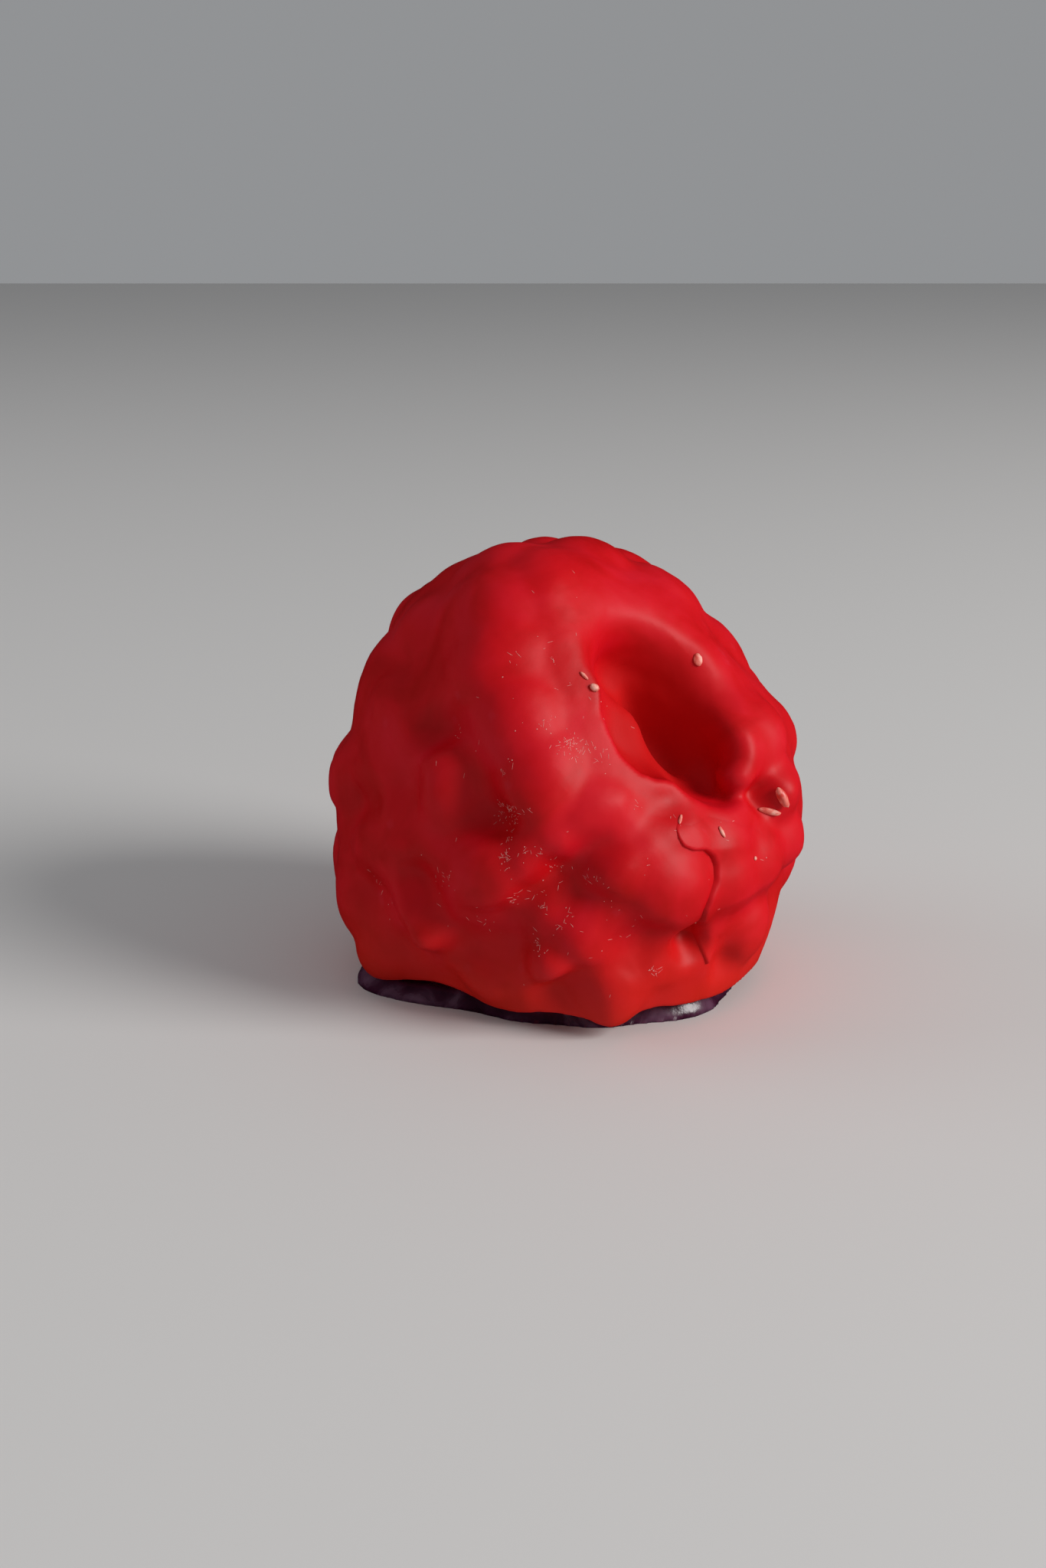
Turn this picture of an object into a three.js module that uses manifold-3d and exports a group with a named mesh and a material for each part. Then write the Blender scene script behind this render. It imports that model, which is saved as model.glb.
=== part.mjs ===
// A single-portion mousse cake in the shape of a raspberry, dipped in a red cocoa-butter shell.
// It lies on its side on a thin layer of dark berry jelly.
// The berry's hollow faces front right and up.
// Millimetres, +Z up, -Y towards the front, origin at the middle of the jelly's flat underside.
import * as THREE from "three";
import Module from "manifold-3d";
import { mergeVertices } from "three/addons/utils/BufferGeometryUtils.js";

// Driving dimensions of the berry
const berryWidth = 57;
const berryDepth = 56;
const middleHeight = 25.8; // height of the widest part over the table
const crownRise = 28.2; // from the widest part up to the top
const skirtReach = 45; // lower half as a taller ellipsoid, cut off by the base
const berryMiddle = new THREE.Vector3(1.5, 0.2, middleHeight);
const coatingSoftness = 0.9; // how widely the shell rounds the grooves between drupelets

// The hollow that the fruit's core leaves, with a drop-shaped mouth
const mouth = { azimuth: 35, elevation: 28.5, tilt: -50, longHalf: 35, shortHalf: 18.5, taper: 0.1 };
const hollowDepth = 18;
const steepWall = 0.66; // share of the mouth's half width where the wall starts on the left
const gentleWall = 0.5; // and on the right, where it slopes
const gentleSide = 35; // turn of the gentlest slope round the mouth, from its right side upwards

// The jelly layer and the clearance that keeps the two solids apart
const jellyThickness = 2.2;
const jellyClearance = 0.3;
const underside = jellyThickness + jellyClearance;

// Mesh density of the shell
const hollowRings = 16;
const outerRings = 46;
const segments = 84;

// Drupelets of the side that shows: azimuth from the front to the right, elevation, radius, rise over core
const frontDrupelets = [
  { name: "crown", azimuth: -30, elevation: 78, radius: 12, rise: 1.2 },
  { name: "brow", azimuth: -22, elevation: 60, radius: 11, rise: 1.5 },
  { name: "bandTop", azimuth: -16, elevation: 43, radius: 10, rise: 1.8 },
  { name: "bandMiddle", azimuth: -13, elevation: 25, radius: 9, rise: 1.8 },
  { name: "bandLow", azimuth: -5, elevation: 13, radius: 9, rise: 1.7 },
  { name: "bandEnd", azimuth: 9, elevation: 5, radius: 8, rise: 1.6 },
  { name: "lipCorner", azimuth: 29, elevation: -1, radius: 7, rise: 1.6 },
  { name: "lipRight", azimuth: 42, elevation: -4, radius: 7, rise: 1.4 },
  { name: "ovalTop", azimuth: -35, elevation: 14, radius: 5.5, rise: 1.3 },
  { name: "ovalLow", azimuth: -34, elevation: 7, radius: 5.5, rise: 1.3 },
  { name: "belly", azimuth: -22, elevation: -11, radius: 7, rise: 1.9 },
  { name: "fold", azimuth: -11, elevation: -6, radius: 4.5, rise: 1.3 },
  { name: "foldEnd", azimuth: -3, elevation: -2, radius: 4.5, rise: 1.2 },
  { name: "centreRight", azimuth: 12, elevation: -7, radius: 5.5, rise: 1.6 },
  { name: "overBig", azimuth: 19, elevation: -5, radius: 7, rise: 1.8 },
  { name: "bigRight", azimuth: 24, elevation: -15, radius: 8.5, rise: 2.6 },
  { name: "lowCentre", azimuth: 4, elevation: -22, radius: 6, rise: 1.9 },
  { name: "pinch", azimuth: -4, elevation: -32, radius: 2.4, rise: 1.8 },
  { name: "lowRight", azimuth: 20, elevation: -34, radius: 8, rise: 1.3 },
  { name: "frontHem", azimuth: 10, elevation: -42, radius: 7, rise: 1.4 },
  { name: "leftSide", azimuth: -52, elevation: -8, radius: 9, rise: 1.1 },
  { name: "leftRidge", azimuth: -64, elevation: 6, radius: 5, rise: 1.0 },
  { name: "leftKnob", azimuth: -76, elevation: 3, radius: 5, rise: 2.1 },
  { name: "leftFoot", azimuth: -72, elevation: -29, radius: 8, rise: 1.6 },
  { name: "leftHem", azimuth: -62, elevation: -42, radius: 6, rise: 1.2 },
  { name: "upperLeft", azimuth: -54, elevation: 25, radius: 8, rise: 0.8 },
  { name: "shoulder", azimuth: -70, elevation: 49, radius: 8, rise: 1.8 },
  { name: "shoulderTop", azimuth: -55, elevation: 68, radius: 7, rise: 0.9 },
  { name: "rightSide", azimuth: 43, elevation: -16, radius: 8, rise: 1.6 },
  { name: "rightFlank", azimuth: 56, elevation: -14, radius: 6, rise: 1.7 },
  { name: "rightFoot", azimuth: 56, elevation: -34, radius: 6, rise: 1.3 },
  { name: "rightKnob", azimuth: 72, elevation: -12, radius: 6, rise: 2.2 },
  { name: "rightLip", azimuth: 67, elevation: 4, radius: 5, rise: 2.3 },
  { name: "rightRim", azimuth: 66, elevation: 20, radius: 6, rise: 2.4 },
  { name: "rightUpper", azimuth: 62, elevation: 42, radius: 8, rise: 0.7 },
  { name: "rightCrown", azimuth: 50, elevation: 62, radius: 8, rise: 0.4 },
];

// Where the form is flatter or dented: azimuth, elevation, width across, depth, minus for a swelling
const dents = [
  { name: "mouthEnd", azimuth: 33, elevation: 28, width: 30, depth: 3.2 },
  { name: "flatFlank", azimuth: 82, elevation: 46, width: 36, depth: 2.8 },
  { name: "flatLeft", azimuth: -95, elevation: 28, width: 34, depth: 1.4 },
  { name: "leftFace", azimuth: -40, elevation: 10, width: 26, depth: 1.2 },
  { name: "leftFootHollow", azimuth: -36, elevation: -46, width: 16, depth: 3.2 },
  { name: "rightShoulder", azimuth: 95, elevation: 38, width: 11, depth: 1.3 },
  { name: "leftShoulder", azimuth: -114, elevation: 66, width: 10, depth: 1.1 },
  { name: "leftNotch", azimuth: -90, elevation: 20, width: 10, depth: 1.3 },
  { name: "shoulderSwell", azimuth: -101, elevation: 50, width: 10, depth: -1.0 },
  { name: "footSwell", azimuth: -70, elevation: -34, width: 12, depth: -1.2 },
  { name: "ovalEdge", azimuth: -36, elevation: 21, width: 7, depth: 1.3 },
  { name: "browDent", azimuth: -28, elevation: 26, width: 9, depth: 1.1 },
  { name: "ovalLeft", azimuth: -43, elevation: 5, width: 7, depth: 1.0 },
  { name: "centreDent", azimuth: -20, elevation: 3, width: 7, depth: 1.7 },
  { name: "centreDentRight", azimuth: -8, elevation: 8, width: 6, depth: 0.8 },
  { name: "leftPit", azimuth: -40, elevation: -13, width: 6, depth: 1.5 },
  { name: "leftPitLow", azimuth: -38, elevation: -20, width: 6, depth: 1.1 },
  { name: "foldDent", azimuth: 2, elevation: -12, width: 7, depth: 1.6 },
  { name: "foldDentLeft", azimuth: -8, elevation: -16, width: 6, depth: 1.2 },
  { name: "underBig", azimuth: 15, elevation: -24, width: 8, depth: 1.6 },
  { name: "underBelly", azimuth: -22, elevation: -28, width: 8, depth: 1.6 },
  { name: "underPinch", azimuth: 2, elevation: -38, width: 7, depth: 1.5 },
  { name: "slot", azimuth: 33, elevation: -29, width: 4, depth: 2.0 },
  { name: "slotRight", azimuth: 50, elevation: -37, width: 4, depth: 1.0 },
  { name: "shoulderDent", azimuth: -46, elevation: 41, width: 8, depth: 0.8 },
  { name: "rightNotch", azimuth: 70, elevation: -26, width: 7, depth: 1.2 },
];

// A run of coating that came down from the mouth's corner: places along it and its half width there
const runThickness = 0.9;
const coatingRun = [
  { azimuth: 25, elevation: 4, halfWidth: 0.9 },
  { azimuth: 30, elevation: -1, halfWidth: 2.0 },
  { azimuth: 40, elevation: -6, halfWidth: 3.0 },
  { azimuth: 41, elevation: -15, halfWidth: 3.2 },
  { azimuth: 40, elevation: -25, halfWidth: 2.4 },
  { azimuth: 38, elevation: -31, halfWidth: 1.4 },
];

// Rings of drupelets round the berry's own axis for the sides that the front does not show
const ringAngles = [60, 82, 104, 126, 148, 168];
const ringPitch = 11.5;
const ringDrupelet = { radius: 8, rise: 1.7 };
const placeJitter = 0.16;
const sizeJitter = 0.18;
const frontLimit = -0.12; // rings leave out what points more to the front than this
const lowLimit = -0.72; // and what would lie under the cake

// Outline of the jelly layer: its half sizes and where it shows past the shell
const jellyHalfWidth = 24;
const jellyHalfDepth = 23;
const jellyLobes = [
  { azimuth: -74, reach: 1.4, spread: 13 },
  { azimuth: -32, reach: -2.4, spread: 20 },
  { azimuth: 25, reach: -0.7, spread: 8 },
  { azimuth: 46, reach: 1.4, spread: 12 },
];
const jellySteps = 64;

// The point where the shell's lower edge hangs down in front of the jelly
const tooth = { x: 7.4, y: -23.4, foot: 0.4, radius: 1.9, height: 4 };

const radians = THREE.MathUtils.degToRad;

function direction(azimuth, elevation) {
  const flat = Math.cos(radians(elevation));
  return new THREE.Vector3(
    flat * Math.sin(radians(azimuth)),
    -flat * Math.cos(radians(azimuth)),
    Math.sin(radians(elevation)),
  );
}

// A repeatable number from 0 to 1 for each seed
function scatter(seed) {
  const wave = Math.sin(seed * 12.9898) * 43758.5453;
  return wave - Math.floor(wave);
}

function coreReach(way) {
  const rise = way.z > 0 ? crownRise : skirtReach;
  return 1 / Math.hypot(way.x / (berryWidth / 2), way.y / (berryDepth / 2), way.z / rise);
}

function drupeletSphere({ way, radius, rise }) {
  return { centre: way.clone().multiplyScalar(coreReach(way) + rise - radius), radius };
}

function sphereReach(way, { centre, radius }) {
  const along = way.dot(centre);
  const inside = radius ** 2 - centre.lengthSq() + along ** 2;
  return inside > 0 && along > 0 ? along + Math.sqrt(inside) : 0;
}

const mouthWay = direction(mouth.azimuth, mouth.elevation);
const mouthRight = new THREE.Vector3(0, 0, 1).cross(mouthWay).normalize();
const mouthUp = mouthWay.clone().cross(mouthRight);

// The direction at an angle from the mouth's axis, at a turn round it from its right side upwards
function aboutMouth(angle, turn) {
  return mouthWay
    .clone()
    .multiplyScalar(Math.cos(angle))
    .addScaledVector(mouthRight, Math.sin(angle) * Math.cos(turn))
    .addScaledVector(mouthUp, Math.sin(angle) * Math.sin(turn));
}

function ringDrupelets() {
  const found = [];
  ringAngles.forEach((angle, ring) => {
    const round = Math.sin(radians(angle)) * Math.PI * berryWidth;
    const count = Math.max(1, Math.round(round / ringPitch));
    for (let i = 0; i < count; i += 1) {
      const seed = ring * 31 + i;
      const turn = ((i + 0.5 * (ring % 2) + placeJitter * (scatter(seed) - 0.5)) / count) * 2 * Math.PI;
      const lean = radians(angle + 60 * placeJitter * (scatter(seed + 0.3) - 0.5));
      const way = aboutMouth(lean, turn);
      const size = 1 + sizeJitter * (scatter(seed + 0.7) - 0.5) * 2;
      if (way.y > frontLimit && way.z > lowLimit) {
        found.push({ way, radius: ringDrupelet.radius * size, rise: ringDrupelet.rise * size });
      }
    }
  });
  return found;
}

const drupelets = [
  ...frontDrupelets.map((d) => ({ ...d, way: direction(d.azimuth, d.elevation) })),
  ...ringDrupelets(),
].map(drupeletSphere);

// The outermost of the core and the drupelets, rounded where they meet as the shell does
function coveredReach(way) {
  const core = coreReach(way);
  let sum = 1;
  for (const drupelet of drupelets) {
    const reach = sphereReach(way, drupelet);
    if (reach > 0) sum += Math.exp((reach - core) / coatingSoftness);
  }
  return core + coatingSoftness * Math.log(sum);
}

function dentDepth(way) {
  const core = berryWidth / 2;
  return dents.reduce((depth, dent) => {
    const apart = way.angleTo(direction(dent.azimuth, dent.elevation)) * core;
    return depth + dent.depth * Math.exp(-((apart / (dent.width / 2)) ** 2));
  }, 0);
}

// Nearest place on the run of coating, as a share of its half width there
function runLift(way) {
  const onBall = (direct) => direct.clone().multiplyScalar(berryWidth / 2);
  const at = onBall(way);
  const stations = coatingRun.map((station) => onBall(direction(station.azimuth, station.elevation)));
  let nearest = Infinity;
  for (let i = 1; i < stations.length; i += 1) {
    const line = new THREE.Line3(stations[i - 1], stations[i]);
    const share = line.closestPointToPointParameter(at, true);
    const halfWidth = THREE.MathUtils.lerp(coatingRun[i - 1].halfWidth, coatingRun[i].halfWidth, share);
    nearest = Math.min(nearest, line.at(share, new THREE.Vector3()).distanceTo(at) / halfWidth);
  }
  return runThickness * (1 - THREE.MathUtils.smoothstep(nearest, 0.6, 1.3));
}

// Half angle of the mouth at each turn round its axis: an oval that tapers to its lower right end
function mouthHalfAngle(turn) {
  const along = turn - radians(mouth.tilt);
  const long = mouth.longHalf;
  const short = mouth.shortHalf * (1 - mouth.taper * Math.cos(along));
  return radians(1 / Math.hypot(Math.cos(along) / long, Math.sin(along) / short));
}

function skinReach(way, mouthShare, turn) {
  const outer = coveredReach(way) - dentDepth(way) + runLift(way);
  const gentle = 0.5 + 0.5 * Math.cos(turn - radians(gentleSide));
  const wallStart = THREE.MathUtils.lerp(steepWall, gentleWall, gentle);
  const wall = THREE.MathUtils.smoothstep(mouthShare, wallStart, 1);
  return THREE.MathUtils.lerp(coreReach(way) - hollowDepth, outer, wall);
}

// A grid of rings round the mouth's axis, closed by a point in the hollow and one at the berry's tip
function shellGeometry() {
  const rings = hollowRings + outerRings;
  const points = [];
  const place = (angle, turn) => {
    const way = aboutMouth(angle, turn);
    const reach = skinReach(way, angle / mouthHalfAngle(turn), turn);
    points.push(...way.multiplyScalar(reach).add(berryMiddle).toArray());
  };
  place(0, 0);
  for (let ring = 1; ring < rings; ring += 1) {
    for (let i = 0; i < segments; i += 1) {
      const turn = (i / segments) * 2 * Math.PI;
      const lip = mouthHalfAngle(turn);
      const inner = (ring / hollowRings) * lip * 1.05;
      const outer = THREE.MathUtils.lerp(lip * 1.05, Math.PI, (ring - hollowRings) / outerRings);
      place(ring <= hollowRings ? inner : outer, turn);
    }
  }
  place(Math.PI, 0);
  const faces = [];
  const last = points.length / 3 - 1;
  const vertex = (ring, i) => 1 + (ring - 1) * segments + (i % segments);
  for (let i = 0; i < segments; i += 1) {
    faces.push(0, vertex(1, i), vertex(1, i + 1));
    faces.push(last, vertex(rings - 1, i + 1), vertex(rings - 1, i));
    for (let ring = 1; ring < rings - 1; ring += 1) {
      faces.push(vertex(ring, i), vertex(ring + 1, i), vertex(ring + 1, i + 1));
      faces.push(vertex(ring, i), vertex(ring + 1, i + 1), vertex(ring, i + 1));
    }
  }
  return new THREE.BufferGeometry()
    .setAttribute("position", new THREE.Float32BufferAttribute(points, 3))
    .setIndex(faces);
}

// Radius of the jelly's outline at each turn
function jellyReach(azimuth) {
  const way = direction(azimuth, 0);
  const oval = 1 / Math.hypot(way.x / jellyHalfWidth, way.y / jellyHalfDepth);
  return jellyLobes.reduce((reach, lobe) => {
    const apart = Math.abs(((azimuth - lobe.azimuth + 540) % 360) - 180);
    return reach + lobe.reach * Math.exp(-((apart / lobe.spread) ** 2));
  }, oval);
}

function jellyGeometry() {
  const outline = Array.from({ length: jellySteps }, (_, i) => {
    const azimuth = (i / jellySteps) * 360;
    const way = direction(azimuth, 0).multiplyScalar(jellyReach(azimuth));
    return new THREE.Vector2(way.x, way.y);
  });
  return new THREE.ExtrudeGeometry(new THREE.Shape(outline), {
    depth: jellyThickness - 0.8,
    bevelThickness: 0.4,
    bevelSize: 0.4,
    bevelSegments: 1,
  }).translate(0, 0, 0.4);
}

const wasm = await Module();
wasm.setup();

function toSolid(geometry) {
  const bare = new THREE.BufferGeometry().setAttribute("position", geometry.getAttribute("position"));
  if (geometry.index) bare.setIndex(geometry.index);
  const merged = mergeVertices(bare, 1e-4);
  return new wasm.Manifold(
    new wasm.Mesh({
      numProp: 3,
      vertProperties: merged.getAttribute("position").array,
      triVerts: new Uint32Array(merged.index.array),
    }),
  );
}

function toGeometry(solid) {
  const mesh = solid.getMesh();
  return new THREE.BufferGeometry()
    .setAttribute("position", new THREE.BufferAttribute(mesh.vertProperties, 3))
    .setIndex(new THREE.BufferAttribute(mesh.triVerts, 1));
}

function toothGeometry() {
  return new THREE.SphereGeometry(tooth.radius, 16, 10)
    .rotateX(Math.PI / 2)
    .scale(1, 1, tooth.height / tooth.radius)
    .translate(tooth.x, tooth.y, tooth.foot + tooth.height);
}

function shellSolid() {
  const below = new THREE.BoxGeometry(4 * berryWidth, 4 * berryDepth, 100).translate(0, 0, underside - 50);
  return toSolid(shellGeometry()).subtract(toSolid(below)).add(toSolid(toothGeometry()));
}

function namedMesh(name, geometry, finish) {
  geometry.computeVertexNormals();
  const mesh = new THREE.Mesh(geometry, new THREE.MeshStandardMaterial(finish));
  mesh.name = name;
  return mesh;
}

const cake = new THREE.Group();
cake.add(
  namedMesh("red_shell_cake", toGeometry(shellSolid()), { color: 0xc01824, roughness: 0.45, metalness: 0 }),
  namedMesh("dark_jelly_layer", jellyGeometry(), { color: 0x3a1426, roughness: 0.25, metalness: 0 }),
);

export default cake;
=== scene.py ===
import math
import random
import time

import bpy
from mathutils import Matrix, Vector
from mathutils.bvhtree import BVHTree
from mathutils.kdtree import KDTree


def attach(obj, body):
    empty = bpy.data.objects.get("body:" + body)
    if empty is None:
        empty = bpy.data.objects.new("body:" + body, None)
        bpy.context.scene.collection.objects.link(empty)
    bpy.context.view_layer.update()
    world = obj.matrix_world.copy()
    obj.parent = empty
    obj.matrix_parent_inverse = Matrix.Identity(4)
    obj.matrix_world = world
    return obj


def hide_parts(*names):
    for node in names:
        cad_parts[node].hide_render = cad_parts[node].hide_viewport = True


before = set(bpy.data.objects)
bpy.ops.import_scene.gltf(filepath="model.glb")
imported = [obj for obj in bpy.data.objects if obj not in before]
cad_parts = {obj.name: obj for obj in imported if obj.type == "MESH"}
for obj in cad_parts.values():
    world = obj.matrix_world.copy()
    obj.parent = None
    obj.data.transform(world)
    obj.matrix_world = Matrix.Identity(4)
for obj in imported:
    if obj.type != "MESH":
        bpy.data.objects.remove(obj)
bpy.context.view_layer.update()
mm = 0.001
startTime = time.time()


def report(stage):
    print(f"{time.time() - startTime:5.1f} s  {stage}")


# Selection and finishing, as one would do by hand

def clearSelection():
    if bpy.context.object and bpy.context.object.mode != "OBJECT":
        bpy.ops.object.mode_set(mode="OBJECT")
    bpy.ops.object.select_all(action="DESELECT")


def pick(first, *others):
    clearSelection()
    for obj in (first, *others):
        obj.select_set(True)
    bpy.context.view_layer.objects.active = first
    return first


def placeInMesh(obj):
    pick(obj)
    bpy.ops.object.transform_apply(location=True, rotation=True, scale=True)
    return obj


def editWith(obj, chosen):  # into edit mode with only the vertices of those numbers selected
    pick(obj)
    bpy.ops.object.mode_set(mode="EDIT")
    bpy.ops.mesh.select_mode(type="VERT")
    bpy.ops.mesh.select_all(action="DESELECT")
    bpy.ops.object.mode_set(mode="OBJECT")
    for number in chosen:
        obj.data.vertices[number].select = True
    bpy.ops.object.mode_set(mode="EDIT")


def addModifier(obj, kind, **settings):
    modifier = obj.modifiers.new(kind.title(), kind)
    for name, value in settings.items():
        setattr(modifier, name, value)
    return modifier


def applyModifier(obj, kind, **settings):
    modifier = addModifier(obj, kind, **settings)
    pick(obj)
    bpy.ops.object.modifier_apply(modifier=modifier.name)


def remesh(obj, voxel, smoothing, factor=0.5):
    applyModifier(obj, "REMESH", mode="VOXEL", voxel_size=voxel * mm, use_smooth_shade=True)
    applyModifier(obj, "SMOOTH", iterations=smoothing, factor=factor)


def ripple(obj, size, height, depth=2):  # real unevenness of the surface, size and height in mm
    texture = bpy.data.textures.new("ripple", "CLOUDS")
    texture.noise_scale = size * mm
    texture.noise_depth = depth
    applyModifier(obj, "DISPLACE", texture=texture, texture_coords="LOCAL", strength=height * mm, mid_level=0.5)


# The berry's own frame: directions from its middle, azimuth 0 to the front, positive to the right

berry = {
    "middle": Vector((1.5, 0.2, 25.8)) * mm,
    "width": 56, "depth": 55, "rise": 28.2, "skirt": 45,
    "coat": 0.9,  # thickness of the shell that the fruit was dipped in
    "underside": 2.5,
    "unionVoxel": 0.6, "unionSmoothing": 6, "cutSmoothing": 2,
    "skinVoxel": 0.43, "skinSmoothing": 3,
    "ripples": [(7, 0.35), (1.6, 0.06)],  # size and height of the skin's unevenness in mm
    "outside": 60,  # mm from the middle, well clear of the skin
}

mouth = {
    "azimuth": 32, "elevation": 28,
    # Each scoop: azimuth, elevation and level of its centre, azimuth and elevation of the way it faces,
    # its tilt, and half its length, half its width and its depth in mm
    "scoops": [
        ((45, 30, 25), (45, 30), -78, (9.5, 3.3, 13)),  # deep part
        ((36, 46, 25.5), (36, 46), -35, (7.4, 4.4, 10)),
        ((38, 16.5, 26), (12, 18), -43, (7.9, 4.6, 10)),
        ((49, 40, 26), (48, 38), -62, (4.6, 3, 8)),
        ((26, 31, 24.5), (-8, 21), -75, (8, 6, 6.4)),  # floor behind the left edge
        ((22, 43, 25.5), (5, 35), -60, (5.5, 4.6, 6.5)),
        ((49, 10, 28.5), (49, 10), -35, (6.5, 4, 3.8)),  # gentle slopes on the right
        ((45, 41, 29.2), (45, 41), -50, (8.5, 6.5, 5.7)),
    ],
    "cutterVoxel": 0.5, "cutterSmoothing": 3,
    "softEdge": [  # azimuth and elevation of places along the upper and the right edge
        (14, 56), (21, 59), (29, 59), (37, 58), (44, 56), (50, 52),
        (55, 49), (59, 45), (60, 39), (59, 33), (58, 27), (57, 22),
    ],
    "softReach": (7, 6, 5, 4), "softRepeat": 22,
    "floorRidges": [  # where two scoops meet
        (13, 38), (16, 37), (20, 36), (24, 33), (27, 28), (28, 39),
        (31, 33), (32, 24), (33, 20), (36, 30), (38, 22), (43, 17),
    ],
    "ridgeReach": 2.6,
}


def direction(azimuth, elevation):
    a, e = math.radians(azimuth), math.radians(elevation)
    return Vector((math.cos(e) * math.sin(a), -math.cos(e) * math.cos(a), math.sin(e)))


def coreReach(way):
    rise = berry["rise"] if way.z > 0 else berry["skirt"]
    return mm / math.sqrt((2 * way.x / berry["width"]) ** 2 + (2 * way.y / berry["depth"]) ** 2 + (way.z / rise) ** 2)


mouthWay = direction(mouth["azimuth"], mouth["elevation"])
mouthRight = Vector((0, 0, 1)).cross(mouthWay).normalized()
mouthUp = mouthWay.cross(mouthRight)


def scatter(seed):  # a jumbled value between 0 and 1, always the same for one seed
    wave = math.sin(seed * 12.9898) * 43758.5453
    return wave - math.floor(wave)


# Drupelets that show in front: azimuth, elevation, radius, rise over the core in mm
frontDrupelets = [
    # the broad band from the crown down to the front, and what lies right of it
    (-65, 70, 12, 1.3), (-38, 55, 11, 1.7), (-26, 42, 10, 1.9), (-16, 29, 9, 1.9), (-8, 16, 9, 1.7), (9, 5, 8, 1.6),
    (29, -1, 7, 1.6), (42, -4, 7, 1.4), (19, -5, 7, 1.8), (24, -15, 8.5, 2.6), (12, -8, 6, 2.0), (8, -27, 7, 1.9),
    # oval, belly and fold
    (-35, 14, 5.5, 1.3), (-34, 7, 5.5, 1.3), (-22, -11, 7, 1.9), (-11, -6, 4.5, 1.3), (-3, -2, 4.5, 1.2),
    # left side and crown
    (-49, 0, 5, 0.9), (-49, -9, 5, 0.9), (-59, -14, 9, 1.0), (-64, 6, 5, 1.0), (-76, 3, 5, 2.1), (-72, -29, 8, 1.6),
    (-47, 23, 7, 0.7), (-64, 27, 7, 0.9), (-72, 46, 8, 1.2), (20, 74, 12, 0.9), (-10, 70, 12, 1.3),
    # along the lower edge and up its right end
    (-39, -31, 4, 1.0), (-41, -23, 4, 1.0), (-62, -42, 6, 1.2), (-27, -44, 5, 0.8), (10, -42, 7, 1.4),
    (15, -34, 7, 0.7), (25, -34, 6, 1.2), (43, -16, 8, 1.6), (56, -34, 6, 1.3), (56, -14, 6, 1.7),
    # right side
    (72, -12, 6, 2.2), (67, 4, 5, 2.3), (66, 20, 6, 2.4), (62, 42, 8, 0.7), (50, 62, 8, 0.4),
    (-5.5, -33, 3, 2.0),  # pinched peak
]

# Rings of them round the berry's axis on the sides behind
rings = {
    "angles": (60, 82, 104, 126, 148, 168),
    "pitch": 11.5, "radius": 8, "rise": 1.6,
    "placeJitter": 0.16, "sizeJitter": 0.18, "seedStep": 31,
    "behind": -0.12, "lowest": -0.72,  # where they begin behind the front ones, and end over the table
}


def ringDrupelets():
    for ring, angle in enumerate(rings["angles"]):
        count = max(1, round(math.sin(math.radians(angle)) * math.pi * berry["width"] / rings["pitch"]))
        for i in range(count):
            seed = ring * rings["seedStep"] + i
            jitter = rings["placeJitter"]
            turn = (i + 0.5 * (ring % 2) + jitter * (scatter(seed) - 0.5)) / count * 2 * math.pi
            lean = math.radians(angle + 60 * jitter * (scatter(seed + 0.3) - 0.5))
            way = mouthWay * math.cos(lean) + (mouthRight * math.cos(turn) + mouthUp * math.sin(turn)) * math.sin(lean)
            size = 1 + rings["sizeJitter"] * (scatter(seed + 0.7) - 0.5) * 2
            if way.y > rings["behind"] and way.z > rings["lowest"]:
                yield way, rings["radius"] * size, rings["rise"] * size


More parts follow.
